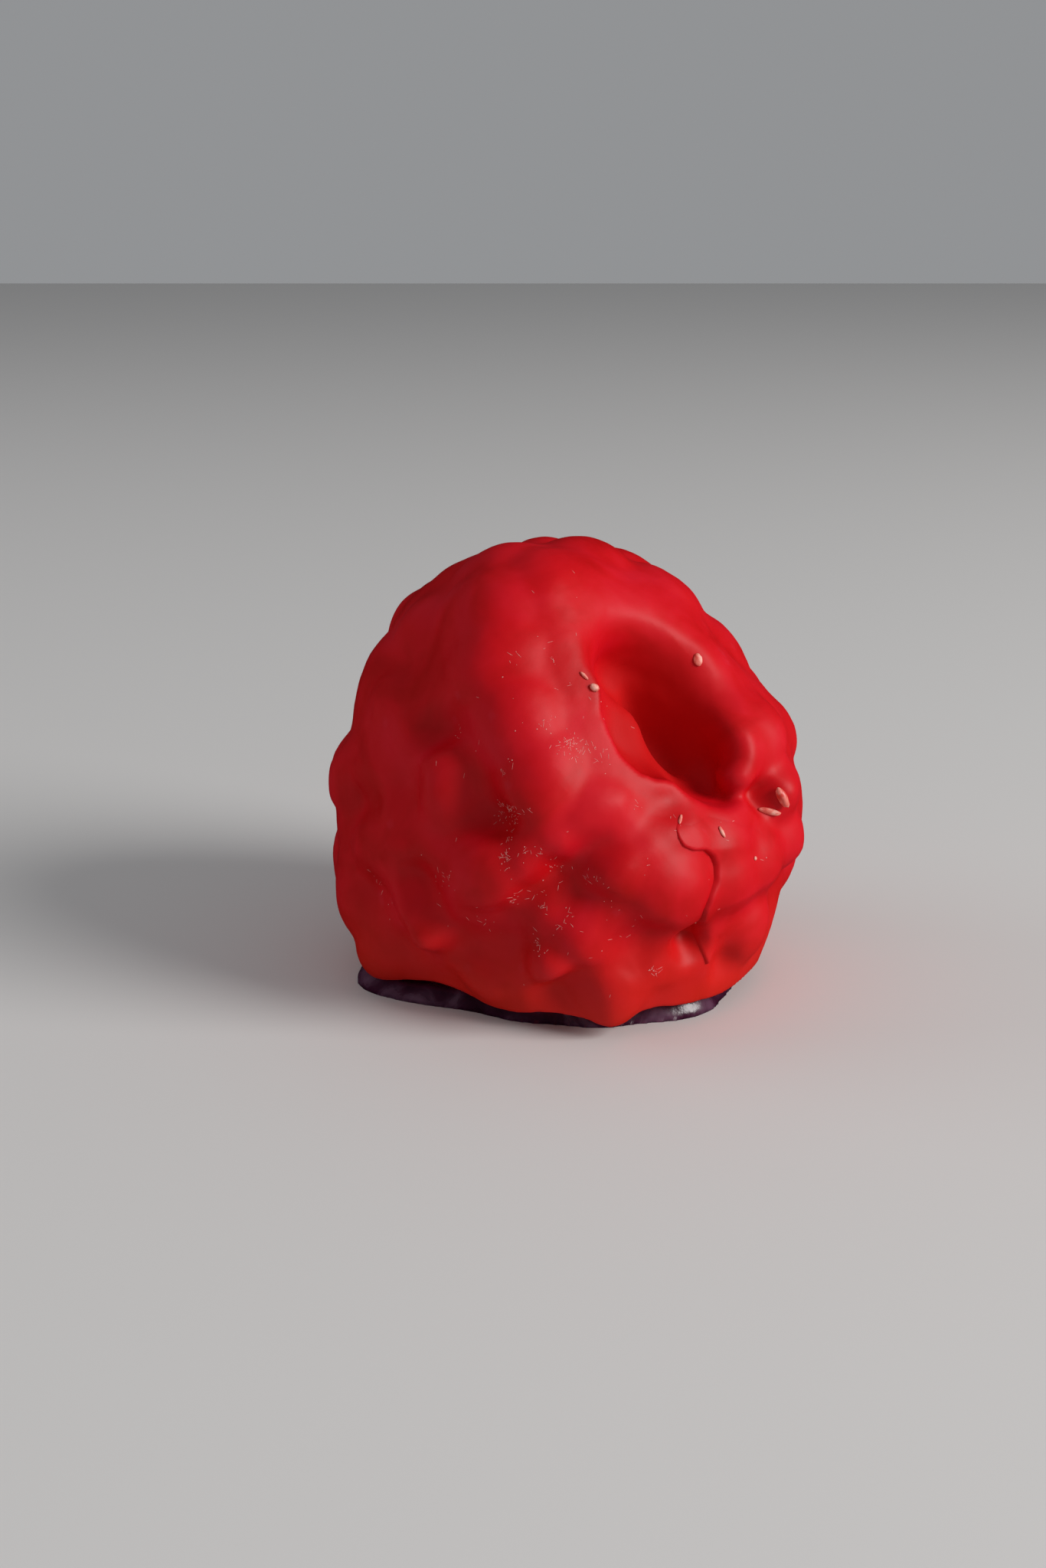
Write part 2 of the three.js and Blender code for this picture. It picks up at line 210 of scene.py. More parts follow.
# Dents worked into the united form: azimuth, elevation, width across, depth in mm, which is minus for a swelling
dents = [
    # broad ones first
    (82, 46, 36, 2.8), (-95, 28, 34, 1.4), (-36, -46, 14, 3.0), (33, 28, 22, 3.4), (-40, 10, 20, 1.3),
    # the silhouette
    (95, 38, 9, 1.5), (107, 58, 8, 0.9), (-114, 66, 8, 1.3), (-90, 20, 8, 1.5), (81, -8, 6, 0.6), (70, -26, 6, 1.3),
    (-101, 50, 9, -1.1), (-87, 6, 5, -0.7), (-80, -11, 7, -0.9), (-70, -34, 10, -1.3), (88, 12, 9, -0.6),
    # crown, shoulders and a few places between
    (-46, 41, 8, 0.9), (-62, 38, 6, 1.0), (-30, 66, 8, 0.5), (-6, 55, 8, -0.8), (-22, 60, 9, -1.0), (-28, 73, 10, -0.9),
    (-50, 68, 10, -0.8), (-40, 50, 8, -0.7), (-34, 36, 7, -0.6), (66, -33, 5, 0.8), (-23, 12, 4, 0.6),
    # round the oval
    (-43, 21, 4, 1.1), (-39, 22, 4, 1.4), (-35, 24, 4, 1.3), (-30, 25, 5, 1.0), (-27, 16, 4.5, 0.6),
    (-25, 10, 5, 0.6), (-23, 4, 4.5, 1.8), (-19, 3, 3.6, 1.4), (-15, 2.5, 3, 0.9), (-46, 9, 4.5, 1.0),
    (-46, 1, 4.5, 1.3), (-30, -1, 5, 1.0),
    # the ridge that runs down to the left foot
    (-45, -20, 3.6, -0.9), (-40, -24, 3.6, -1.1), (-36, -29, 4, -1.1),
    (-41, -15, 3.6, 1.8), (-37, -20, 4, 1.3), (-34, -24, 3.4, 0.9), (-30, -31, 4.5, 1.5), (-50, -34, 4, 1.2),
    (-61, 1, 4, 1.3), (-69, -3, 4, 1.2), (-56, -22, 5, 0.9), (-9, 9, 4, 0.3), (-8, 5, 5, -0.8),
    # lower edge of the fold
    (5, -3, 3.6, 1.2), (-1, -7, 3, 0.6), (-5, -10, 3, 0.6), (-10, -14, 3, 0.6), (-15, -20, 3, 0.6),
    # the valley below it
    (-2, -9, 5, 1.6), (3, -16, 4.2, 1.5), (10, -21, 4.5, 1.5), (18, -26, 4.5, 1.7), (27, -30, 4, 1.8),
    (-12, -18, 5, 0.5), (14, 3, 4, 0.5), (8, 1, 4, 0.8), (25, 5, 2.6, 0.8),
    # over the hem
    (-20, -28, 6, 1.9), (-13, -30, 5, 1.3), (0, -37, 5, 2.2), (-5, -41, 3.5, 1.0), (11, -28, 5, 0.9),
    # beside the coating run's tip
    (31, -28, 2.8, 3.4), (33, -31.5, 2.6, 3.2), (45, -36, 2.6, 1.4), (43, -32, 3, 0.7),
]
brushSpread = 1.15  # proportional editing fades out a little past the width that is meant


def skinTree(obj):
    return BVHTree.FromObject(obj, bpy.context.evaluated_depsgraph_get())


def outermost(tree, way):  # the skin as met from outside
    return tree.ray_cast(berry["middle"] + way * berry["outside"] * mm, -way)


def pull(obj, way, amount, width):  # moves the surface out along way, or in, as with a soft brush
    place, _, face, _ = outermost(skinTree(obj), way)
    corners = obj.data.polygons[face].vertices
    nearest = min(corners, key=lambda i: (obj.data.vertices[i].co - place).length)
    dragVertex(obj, nearest, way * amount * mm, width)


def dragVertex(obj, number, move, width):
    editWith(obj, [number])
    bpy.ops.transform.translate(
        value=move, use_proportional_edit=True, proportional_edit_falloff="SMOOTH",
        proportional_size=width * brushSpread * mm,
    )
    bpy.ops.object.mode_set(mode="OBJECT")


def soften(obj, spots, reach, repeat):  # rubs the edge round at those places
    near = KDTree(len(obj.data.vertices))
    for vertex in obj.data.vertices:
        near.insert(vertex.co, vertex.index)
    near.balance()
    tree = skinTree(obj)
    chosen = set()
    for spot in spots:
        place = outermost(tree, direction(*spot))[0]
        chosen.update(number for _, number, _ in near.find_range(place, reach * mm))
    editWith(obj, chosen)
    bpy.ops.mesh.vertices_smooth(factor=0.5, repeat=repeat)
    bpy.ops.object.mode_set(mode="OBJECT")


def addCore():
    bpy.ops.mesh.primitive_uv_sphere_add(segments=96, ring_count=64, radius=1)
    core = bpy.context.object
    bpy.ops.transform.resize(value=(berry["width"] / 2 * mm, berry["depth"] / 2 * mm, berry["rise"] * mm))
    placeInMesh(core)
    editWith(core, [v.index for v in core.data.vertices if v.co.z < 0])
    bpy.ops.transform.resize(value=(1, 1, berry["skirt"] / berry["rise"]), center_override=(0, 0, 0))
    bpy.ops.object.mode_set(mode="OBJECT")
    bpy.ops.transform.translate(value=berry["middle"])
    return placeInMesh(core)


def addDrupelet(way, radius, rise):
    centre = berry["middle"] + way * (coreReach(way) + (rise - radius) * mm)
    bpy.ops.mesh.primitive_ico_sphere_add(subdivisions=4, radius=radius * mm, location=centre)
    return bpy.context.object


def addBead(azimuth, elevation, level, radius):
    centre = berry["middle"] + direction(azimuth, elevation) * level * mm
    bpy.ops.mesh.primitive_ico_sphere_add(subdivisions=3, radius=radius * mm, location=centre)
    return bpy.context.object


def addScoop(centre, facing, tilt, sizes):  # an ellipsoid to cut with, its third size along the way it faces
    azimuth, elevation, level = centre
    way = direction(*facing)
    right = Vector((0, 0, 1)).cross(way).normalized()
    bpy.ops.mesh.primitive_uv_sphere_add(segments=64, ring_count=40, radius=1)
    scoop = bpy.context.object
    place = Matrix.Translation(berry["middle"] + direction(azimuth, elevation) * level * mm)
    turn = Matrix((right, way.cross(right), way)).transposed().to_4x4() @ Matrix.Rotation(math.radians(tilt), 4, "Z")
    scoop.matrix_world = place @ turn @ Matrix.Diagonal((*(size * mm for size in sizes), 1))
    return placeInMesh(scoop)


def cutHollow(obj):  # all scoops as one form, so that it is a single clean cut
    cutter = pick(*(addScoop(*scoop) for scoop in mouth["scoops"]))
    bpy.ops.object.join()
    remesh(cutter, mouth["cutterVoxel"], mouth["cutterSmoothing"])
    applyModifier(obj, "BOOLEAN", operation="DIFFERENCE", object=cutter, solver="EXACT")
    bpy.data.objects.remove(cutter)


# Beads that were left standing on the hollow's right wall: azimuth, elevation, level of the centre, radius in mm
hollowBeads = [(54, 8.5, 24.4, 2.5), (56, 20, 24.8, 2.6)]

# And what is worked in round them: azimuth, elevation, width, height in mm
hollowLumps = [(27, 31, 3.5, 0.5), (59, 35, 4, -0.5), (53, 14, 4.5, 1.2), (62, 3, 3.2, 0.8), (57, 2, 2.6, -2.0)]


def buildBerry():
    core = addCore()
    balls = [addDrupelet(direction(a, e), r, rise) for a, e, r, rise in frontDrupelets]
    balls += [addDrupelet(*drupelet) for drupelet in ringDrupelets()]
    body = pick(core, *balls)
    bpy.ops.object.join()
    body.name = "raspberry_shell"
    remesh(body, berry["unionVoxel"], berry["unionSmoothing"])
    applyModifier(body, "DISPLACE", strength=berry["coat"] * mm, mid_level=0)
    report("drupelets united and coated")
    for azimuth, elevation, width, depth in dents:
        pull(body, direction(azimuth, elevation), -depth, width)
    report("dents worked in")
    cutHollow(body)
    pick(body, *(addBead(*bead) for bead in hollowBeads))
    bpy.ops.object.join()
    remesh(body, berry["unionVoxel"], berry["cutSmoothing"])
    for reach in mouth["softReach"]:
        soften(body, mouth["softEdge"], reach, mouth["softRepeat"])
    soften(body, mouth["floorRidges"], mouth["ridgeReach"], mouth["softRepeat"])
    for azimuth, elevation, width, height in hollowLumps:
        pull(body, direction(azimuth, elevation), height, width)
    report("hollow scooped out and its edge softened")
    return body


body = buildBerry()


# The lower edge, cut level and then drawn into waves: azimuth, move downwards, width in mm
hem = {
    "waves": [
        (-69, 0.5, 6), (-42, -0.9, 7), (-16, 0.3, 6), (-4, -0.3, 4), (15, 0.9, 3.5), (28, -0.4, 4), (50, 0.3, 6),
        (90, -0.6, 8), (140, 0.5, 9), (-120, -0.5, 9),
    ],
    "band": 1,  # mm over the underside in which the edge is looked for
    "straightness": 2,  # how strongly the look keeps to the azimuth
}


def trimUnderside(obj):
    pick(obj)
    bpy.ops.object.mode_set(mode="EDIT")
    bpy.ops.mesh.select_all(action="SELECT")
    bpy.ops.mesh.bisect(
        plane_co=(0, 0, berry["underside"] * mm), plane_no=(0, 0, 1), clear_inner=True, use_fill=True,
    )
    bpy.ops.object.mode_set(mode="OBJECT")


def waveHem(obj):
    for azimuth, drop, width in hem["waves"]:
        way = direction(azimuth, 0)
        low = [v for v in obj.data.vertices if v.co.z < (berry["underside"] + hem["band"]) * mm]
        edge = max(low, key=lambda v: v.co.dot(way) - hem["straightness"] * (v.co - way * v.co.dot(way)).to_2d().length)
        dragVertex(obj, edge.index, Vector((0, 0, -drop * mm)), width)


trimUnderside(body)
remesh(body, berry["skinVoxel"], berry["skinSmoothing"])
waveHem(body)
for size, height in berry["ripples"]:
    ripple(body, size, height)
report(f"berry finished, {len(body.data.polygons)} faces")
pick(body)
bpy.ops.object.shade_smooth()
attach(body, "root")
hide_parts("red_shell_cake")


# What lies on the berry's skin is placed by azimuth and elevation

skinTrees = [skinTree(body)]


def onSkin(azimuth, elevation):
    hits = [outermost(tree, direction(azimuth, elevation)) for tree in skinTrees]
    place, normal, _, _ = max((hit for hit in hits if hit[0]), key=lambda hit: (hit[0] - berry["middle"]).length)
    return place, normal


def lieOn(normal, along):  # turn that sets z on the normal and x as near to along as it can
    across = normal.cross(along).normalized()
    return Matrix((across.cross(normal), across, normal)).transposed().to_4x4()


def between(path, share):  # values of a path at a share of its steps
    step = min(int(share * (len(path) - 1)), len(path) - 2)
    part = share * (len(path) - 1) - step
    return [a + (b - a) * part for a, b in zip(path[step], path[step + 1])]


def joinAs(name, pieces):
    obj = pick(*pieces)
    if len(pieces) > 1:
        bpy.ops.object.join()
    obj.name = name
    return placeInMesh(obj)


# The run of coating that came down from the mouth's corner: its left edge stands proud, to the right it dies away

run = {
    "edge": [  # azimuth and elevation of the proud edge, from the lobe at the head down round the tip of the tongue
        (29, 4.5), (26.5, 3), (25, 1), (25, -1), (26, -3), (28.5, -4.3), (32, -5), (34.3, -7), (35, -9), (34.5, -12),
        (32.5, -15), (31.5, -18), (32.5, -23), (35, -28), (36.5, -32), (38, -34.5), (40, -33), (41.5, -30), (43, -26),
    ],
    "fade": [(52, -25), (62, -19), (64, -9), (54, -2.5), (45, 2), (36, 5)],
    "rows": [(7, 22, 34), (-8, 22, 66), (-23, 25, 66), (-38, 30, 56)],  # elevation, first and last azimuth of the patch
    "profile": [  # distance in from the edge, height over the skin in mm
        (-0.3, -0.6), (0, 0.05), (0.2, 0.45), (0.5, 0.65), (1.2, 0.65), (4, 0.4), (8, 0.1), (13, -0.15), (17, -0.6),
    ],
    "fadeRise": 0.03, "fadeSink": 0.08,  # how it climbs away from the faded border
    "buried": -0.6,  # mm, where the sheet is out of sight under the skin
    "pitch": 0.22, "thickness": 1.2, "smoothing": 2,
    "middle": 40, "skinScale": 0.5,  # azimuth of its middle, mm a degree on the skin
}


def laidFlat(azimuth, elevation):
    return Vector(((azimuth - run["middle"]) * math.cos(math.radians(elevation)), elevation)) * run["skinScale"]


def distanceTo(line, spot):
    gaps = []
    for a, b in zip(line, line[1:]):
        share = (spot - a).dot(b - a) / (b - a).length_squared
        gaps.append((spot - a.lerp(b, max(0, min(1, share)))).length)
    return min(gaps)


def isInside(outline, spot):
    crossings = 0
    for a, b in zip(outline, outline[1:] + outline[:1]):
        if (a.y > spot.y) != (b.y > spot.y) and spot.x < a.x + (spot.y - a.y) / (b.y - a.y) * (b.x - a.x):
            crossings += 1
    return crossings % 2 == 1


def valueAt(profile, place):
    for (start, low), (end, high) in zip(profile, profile[1:]):
        if place < end:
            return low + (high - low) * max(0, place - start) / (end - start)
    return profile[-1][1]


def buildRun():
    edge = [laidFlat(*spot) for spot in run["edge"]]
    fade = [laidFlat(*spot) for spot in run["fade"]]
    border = [edge[-1], *fade, edge[0]]
    firstRow, lastRow = run["rows"][0], run["rows"][-1]
    columns = round(max(row[2] - row[1] for row in run["rows"]) * run["skinScale"] / run["pitch"])
    rows = round((firstRow[0] - lastRow[0]) * run["skinScale"] / run["pitch"])
    bpy.ops.mesh.primitive_grid_add(x_subdivisions=columns, y_subdivisions=rows, size=2)
    sheet = bpy.context.object
    sheet.name = "coating_run"
    for vertex in sheet.data.vertices:
        elevation, left, right = between(run["rows"], (1 - vertex.co.y) / 2)
        azimuth = left + (right - left) * (vertex.co.x + 1) / 2
        spot = laidFlat(azimuth, elevation)
        inward = distanceTo(edge, spot) * (1 if isInside(edge + fade, spot) else -1)
        height = valueAt(run["profile"], inward)
        if inward > 0:
            height = min(height, distanceTo(border, spot) ** 2 * run["fadeRise"] - run["fadeSink"])
        place, _ = onSkin(azimuth, elevation)
        vertex.co = place + direction(azimuth, elevation) * max(height, run["buried"]) * mm
    applyModifier(sheet, "SOLIDIFY", thickness=run["thickness"] * mm, offset=-1)
    applyModifier(sheet, "SMOOTH", iterations=run["smoothing"], factor=0.5)
    return sheet


coatingRun = buildRun()
skinTrees.append(skinTree(coatingRun))
pick(coatingRun)
bpy.ops.object.shade_smooth()
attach(coatingRun, "root")
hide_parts("red_shell_cake")
report("coating run laid on")


# Frost flecks: tiny needles and flakes of cocoa butter that came up on the cold shell

frost = {
    "clusters": [  # azimuth, elevation, spread across and up in degrees, how many
        (0, 22, 3.6, 2.2, 60), (-6, 26, 3, 2, 14), (-17, 41, 2, 2, 5), (-5, 44, 3, 3, 5), (7, 19, 2, 3, 12),
        (-16, 15, 2, 3, 8), (-15, 7, 4, 0.8, 22), (-13, 4, 1, 2, 10), (-15, -2, 1.2, 5, 34), (-9, -3, 3, 2.5, 14),
        (-4, -8, 2, 1.5, 10), (4, -9, 3, 2, 12), (-11, -14, 5, 2, 12), (-2, -19, 3, 2, 8), (-8, -26, 2, 1.5, 10),
        (22, -33, 1, 0.5, 5), (17, -5, 2, 2, 4), (15, 7, 2, 2, 4), (25, 3, 2, 2, 4), (50, -11, 1, 1, 2),
        (-32, -12, 3, 3, 10), (-34, 24, 1.5, 1.5, 7), (-23, -23, 3, 3, 6), (10, -15, 3, 3, 4), (-55, -20, 4, 8, 12),
        (40, -2, 4, 4, 4), (-10, 30, 25, 25, 30), (-5, -20, 30, 12, 40), (-15, 6, 3, 0.4, 14), (-17, 3, 3, 3, 24),
        # small smudges
        (-7, -17, 0.7, 0.5, 10), (-14, -16, 0.9, 0.6, 10), (-8, -26, 0.8, 0.5, 9), (-3, -21, 0.6, 0.4, 6),
        (21, -32, 1.2, 0.3, 10), (-29, -11, 0.5, 0.5, 6),
    ],
    "needle": (0.12, 0.46), "needleWidth": 0.023, "flake": (0.035, 0.09), "needleShare": 0.5,
    "crowding": 1.6, "flatness": 0.7, "lift": 0.01, "seed": 12,
}


def buildFrost():
    dice = random.Random(frost["seed"])
    flecks = []
    for azimuth, elevation, across, up, count in frost["clusters"]:
        for _ in range(count):
            sideways = dice.gauss(azimuth, across / frost["crowding"])
            place, normal = onSkin(sideways, dice.gauss(elevation, up / frost["crowding"]))
            isNeedle = dice.random() < frost["needleShare"]
            length = dice.uniform(*frost["needle" if isNeedle else "flake"]) * mm
            slim = frost["needleWidth"] * mm if isNeedle else length * dice.uniform(0.5, 1)
            bpy.ops.mesh.primitive_ico_sphere_add(subdivisions=1, radius=1)
            fleck = bpy.context.object
            along = Vector((dice.gauss(0, 1), dice.gauss(0, 1), dice.gauss(0, 1)))
            size = Matrix.Diagonal((length, slim, slim * frost["flatness"], 1))
            onTop = Matrix.Translation(place + normal * frost["lift"] * mm)
            fleck.matrix_world = onTop @ lieOn(normal, along) @ size
            flecks.append(fleck)
    return joinAs("frost_flecks", flecks)


frostFlecks = buildFrost()
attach(frostFlecks, "root")
report("frost flecks set")


# Crumbs that cling to the mouth's edges: azimuth, elevation, length, width, height in mm, turn
crumbs = {
    "places": [
        (7, 37, 1.2, 0.9, 0.8, 60), (4, 40, 1.3, 0.45, 0.4, 35), (60, 42.5, 1.6, 1.1, 0.4, 10),
        (60.5, 1.5, 2.8, 1.2, 1.0, 30), (59, -2, 2.9, 0.8, 0.6, 75), (27, 2.5, 1.4, 0.4, 0.3, 150),
        (38, -2, 1.5, 0.5, 0.35, 10), (48, -10, 0.5, 0.5, 0.3, 0), (33, -24, 0.3, 0.3, 0.2, 0),
    ],
    "roughness": 0.22, "lift": 0.25, "seed": 5,  # lift as a share of the height
}


def buildCrumbs():
    dice = random.Random(crumbs["seed"])
    pieces = []
    for azimuth, elevation, length, width, height, turn in crumbs["places"]:
        place, normal = onSkin(azimuth, elevation)
        bpy.ops.mesh.primitive_ico_sphere_add(subdivisions=3, radius=0.5)
        crumb = bpy.context.object
        for vertex in crumb.data.vertices:
            vertex.co *= 1 + crumbs["roughness"] * dice.uniform(-0.5, 0.5)
        applyModifier(crumb, "SMOOTH", iterations=2, factor=0.5)
        flat = lieOn(normal, Vector((0, 0, 1))) @ Matrix.Rotation(math.radians(turn), 4, "Z")
        size = Matrix.Diagonal((length * mm, width * mm, height * mm, 1))
        crumb.matrix_world = Matrix.Translation(place + normal * height * crumbs["lift"] * mm) @ flat @ size
        pieces.append(crumb)
    return joinAs("shell_crumbs", pieces)


shellCrumbs = buildCrumbs()
pick(shellCrumbs)
bpy.ops.object.shade_smooth()
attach(shellCrumbs, "root")
report("crumbs set")


# The jelly layer under it

jelly = {
    "halfWidth": 24, "halfDepth": 23, "thickness": 2.2, "taper": 0.95, "steps": 128,
    "lobes": [  # azimuth, reach in mm, spread in degrees
        (-72, 2.2, 13), (-32, -3.8, 20), (-2, -2.2, 16), (25, -0.7, 8), (46, 1.4, 12),
    ],
    "voxel": 0.4, "smoothing": 5, "ripple": (5, 0.25),
    "flatBelow": 0.3,
}


def jellyReach(azimuth):
    way = direction(azimuth, 0)
    reach = 1 / math.hypot(way.x / jelly["halfWidth"], way.y / jelly["halfDepth"])
    for middle, lobe, spread in jelly["lobes"]:
        apart = abs((azimuth - middle + 540) % 360 - 180)
        reach += lobe * math.exp(-((apart / spread) ** 2))
    return reach


def buildJelly():
    bpy.ops.mesh.primitive_circle_add(vertices=jelly["steps"], radius=mm, fill_type="NGON")
    layer = bpy.context.object
    layer.name = "berry_jelly"
    placeInMesh(layer)
    for vertex in layer.data.vertices:
        azimuth = math.degrees(math.atan2(vertex.co.x, -vertex.co.y))
        vertex.co = vertex.co.normalized() * jellyReach(azimuth) * mm
    bpy.ops.object.mode_set(mode="EDIT")
    bpy.ops.mesh.select_all(action="SELECT")
    bpy.ops.mesh.extrude_region_move(TRANSFORM_OT_translate={"value": (0, 0, jelly["thickness"] * mm)})
    bpy.ops.transform.resize(value=(jelly["taper"], jelly["taper"], 1), center_override=(0, 0, 0))
    bpy.ops.mesh.select_all(action="SELECT")
    bpy.ops.mesh.normals_make_consistent(inside=False)
    bpy.ops.object.mode_set(mode="OBJECT")
    remesh(layer, jelly["voxel"], jelly["smoothing"])
    ripple(layer, *jelly["ripple"])
    editWith(layer, [v.index for v in layer.data.vertices if v.co.z < jelly["flatBelow"] * mm])
    bpy.ops.transform.resize(value=(1, 1, 0), center_override=(0, 0, 0))  # sits flat on the table
    bpy.ops.object.mode_set(mode="OBJECT")
    return layer


layer = buildJelly()
pick(layer)
bpy.ops.object.shade_smooth()
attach(layer, "root")
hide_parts("dark_jelly_layer")
report("jelly layer finished")


# Materials

def newMaterial(name):
    material = bpy.data.materials.new(name)
    material.use_nodes = True
    nodes, links = material.node_tree.nodes, material.node_tree.links
    return material, nodes, links, nodes["Principled BSDF"]


def addRamp(nodes, stops):
    ramp = nodes.new("ShaderNodeValToRGB")
    elements = ramp.color_ramp.elements
    while len(elements) < len(stops):
        elements.new(0.5)
    for element, (position, colour) in zip(elements, stops):
        element.position = position
        element.color = colour
    return ramp


def addMix(nodes, links, share, first, second):
    mix = nodes.new("ShaderNodeMix")
    mix.data_type = "RGBA"
    links.new(share, mix.inputs[0])
    for socket, value in ((mix.inputs[6], first), (mix.inputs[7], second)):
        if isinstance(value, tuple):
            socket.default_value = value
        else:
            links.new(value, socket)
    return mix.outputs[2]


def addMapRange(nodes, links, value, low, high, start, end):
    span = nodes.new("ShaderNodeMapRange")
    links.new(value, span.inputs["Value"])
    for name, number in (("From Min", low), ("From Max", high), ("To Min", start), ("To Max", end)):
        span.inputs[name].default_value = number
    return span.outputs["Result"]


mottleLook = {"patchDetail": 4, "patchDistortion": 0.6, "grainDetail": 3, "grainShare": 0.25}


def mottleGroup():  # soft patches and fine grain that every edible surface here shares
    tree = bpy.data.node_groups.new("edibleMottle", "ShaderNodeTree")
    tree.interface.new_socket("Vector", in_out="INPUT", socket_type="NodeSocketVector")
    for name, value in (("Patch Scale", 120.0), ("Grain Scale", 2500.0), ("Contrast", 1.5)):
        tree.interface.new_socket(name, in_out="INPUT", socket_type="NodeSocketFloat").default_value = value
    for name in ("Patches", "Grain", "Height"):
        tree.interface.new_socket(name, in_out="OUTPUT", socket_type="NodeSocketFloat")
    nodes, links = tree.nodes, tree.links
    inputs, outputs = nodes.new("NodeGroupInput"), nodes.new("NodeGroupOutput")
    patches = nodes.new("ShaderNodeTexNoise")
    patches.inputs["Detail"].default_value = mottleLook["patchDetail"]
    patches.inputs["Distortion"].default_value = mottleLook["patchDistortion"]
    grain = nodes.new("ShaderNodeTexNoise")
    grain.inputs["Detail"].default_value = mottleLook["grainDetail"]
    for noise, scale in ((patches, "Patch Scale"), (grain, "Grain Scale")):
        links.new(inputs.outputs["Vector"], noise.inputs["Vector"])
        links.new(inputs.outputs[scale], noise.inputs["Scale"])
    centred = nodes.new("ShaderNodeMath")
    centred.operation = "SUBTRACT"
    centred.inputs[1].default_value = 0.5
    stretched = nodes.new("ShaderNodeMath")
    stretched.operation = "MULTIPLY_ADD"
    stretched.inputs[2].default_value = 0.5
    stretched.use_clamp = True
    links.new(patches.outputs["Fac"], centred.inputs[0])
    links.new(centred.outputs[0], stretched.inputs[0])
    links.new(inputs.outputs["Contrast"], stretched.inputs[1])
    height = nodes.new("ShaderNodeMath")
    height.operation = "MULTIPLY_ADD"
    height.inputs[1].default_value = mottleLook["grainShare"]
    links.new(grain.outputs["Fac"], height.inputs[0])
    links.new(patches.outputs["Fac"], height.inputs[2])
    links.new(stretched.outputs[0], outputs.inputs["Patches"])
    links.new(grain.outputs["Fac"], outputs.inputs["Grain"])
    links.new(height.outputs[0], outputs.inputs["Height"])
    return tree


edibleMottle = mottleGroup()


def addMottle(nodes, links, finish):
    place = nodes.new("ShaderNodeTexCoord")
    mottle = nodes.new("ShaderNodeGroup")
    mottle.node_tree = edibleMottle
    mottle.inputs["Patch Scale"].default_value = 1000 / finish["patchSize"]
    mottle.inputs["Grain Scale"].default_value = 1000 / finish["grainSize"]
    mottle.inputs["Contrast"].default_value = finish["contrast"]
    links.new(place.outputs["Object"], mottle.inputs["Vector"])
    return place, mottle


def addBump(nodes, links, mottle, finish, shader):
    strength, depth = finish["bump"]
    bump = nodes.new("ShaderNodeBump")
    bump.inputs["Strength"].default_value = strength
    bump.inputs["Distance"].default_value = depth * mm
    links.new(mottle.outputs["Height"], bump.inputs["Height"])
    links.new(bump.outputs["Normal"], shader.inputs["Normal"])


# Finishes: sizes in mm, colours, then spans as a value from and to with the share or roughness from and to

shellFinish = {
    # deep also paints shade into creases; bloom is cocoa-butter bloom and painted sheen on raised parts
    "deep": (0.45, 0.0005, 0.001, 1), "red": (0.57, 0.0012, 0.006, 1), "bright": (0.62, 0.004, 0.015, 1),
    "bloomAndSheen": (0.60, 0.035, 0.065, 1), "paintedHemBounce": (0.60, 0.016, 0.004, 1), "hollow": (0.50, 0.0004, 0.0008, 1),
    "patchSize": 9, "grainSize": 0.5, "contrast": 1.8,
    "bloomAndSheenSpan": (0.50, 0.62, 0.0, 0.12), "creaseShadeSpan": (0.495, 0.42, 0.0, 0.7),  # pale bloom with painted sheen, and painted crease shade, by pointiness
    "hemBounceSpan": (0.014, 0.003, 0.0, 0.6), "hollowShadeSpan": (0.0115, 0.006, 0.0, 0.9),  # painted warm bounce light by height and painted hollow shade by distance, in m
    # hollowWay and hollowLevel set where the painted hollow shade is darkest
    "hollowWay": (43, 29), "hollowLevel": 16, "hollowDullness": 0.3,
    "roughness": (0.0, 1.0, 0.42, 0.55), "specular": 0.19,
    "subsurface": 0.1, "subsurfaceRadius": (1.0, 0.2, 0.12), "subsurfaceScale": 0.0012,
    "bump": (0.25, 0.12),
}


